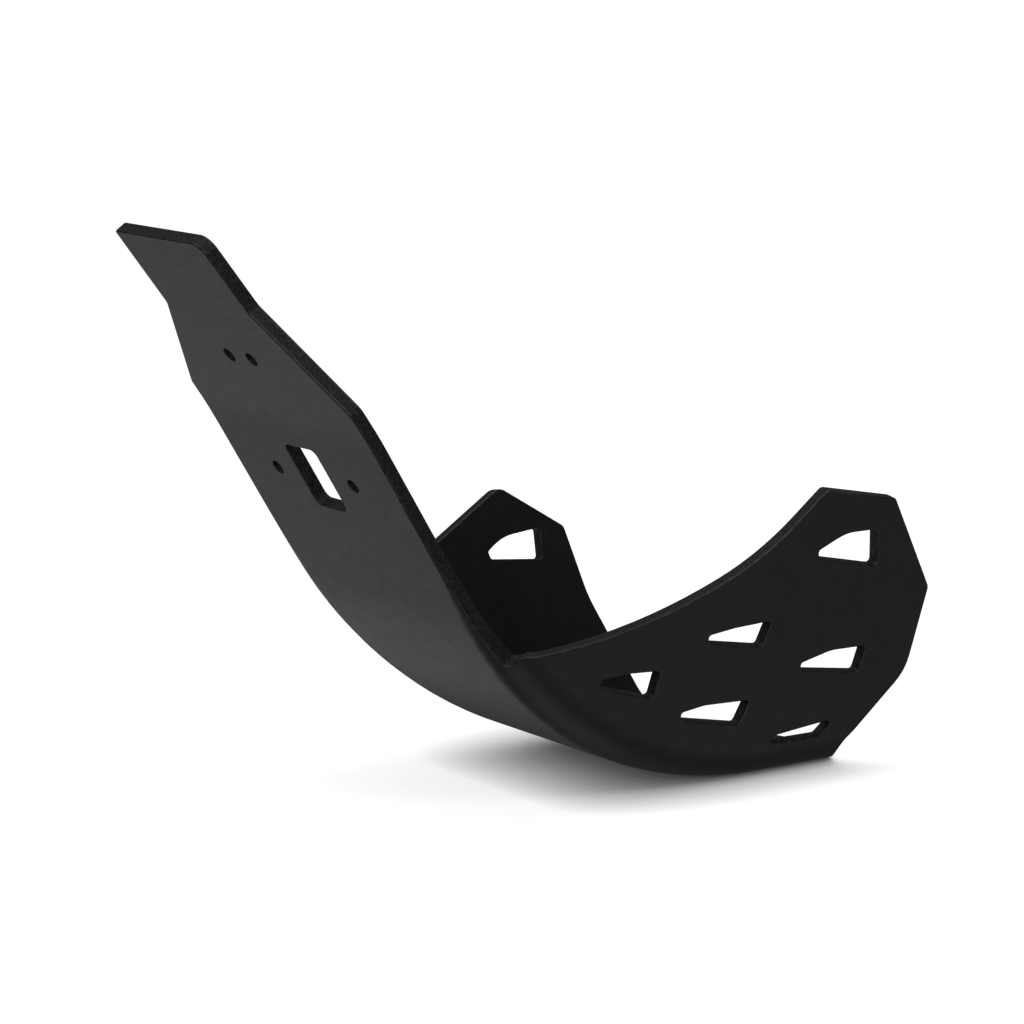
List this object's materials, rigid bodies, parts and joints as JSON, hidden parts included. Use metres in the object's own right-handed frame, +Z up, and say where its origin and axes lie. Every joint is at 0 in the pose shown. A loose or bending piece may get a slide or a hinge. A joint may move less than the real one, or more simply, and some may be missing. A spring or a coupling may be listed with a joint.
{
  "type": "motorcycle skid plate",
  "caption": "Formed black plastic skid plate: a sloping front panel with bolt holes and a drain slot sweeps into a belly with upturned side wings pierced by fin-shaped openings.",
  "frame": {"origin": "on the panel's inner face, midway between the two upper bolt holes, where the plate seats on the frame", "axes": "+X to the front of the motorcycle, +Y to its left, where the longer wing is, +Z up, with the plate as it is when bolted on"},
  "size_m": [0.463, 0.2197, 0.3375],
  "materials": {
    "sheet": "matte black polyethylene with a fine grain"
  },
  "bodies": {
    "root": {"skid_plate": "sheet"}
  },
  "joints": []
}
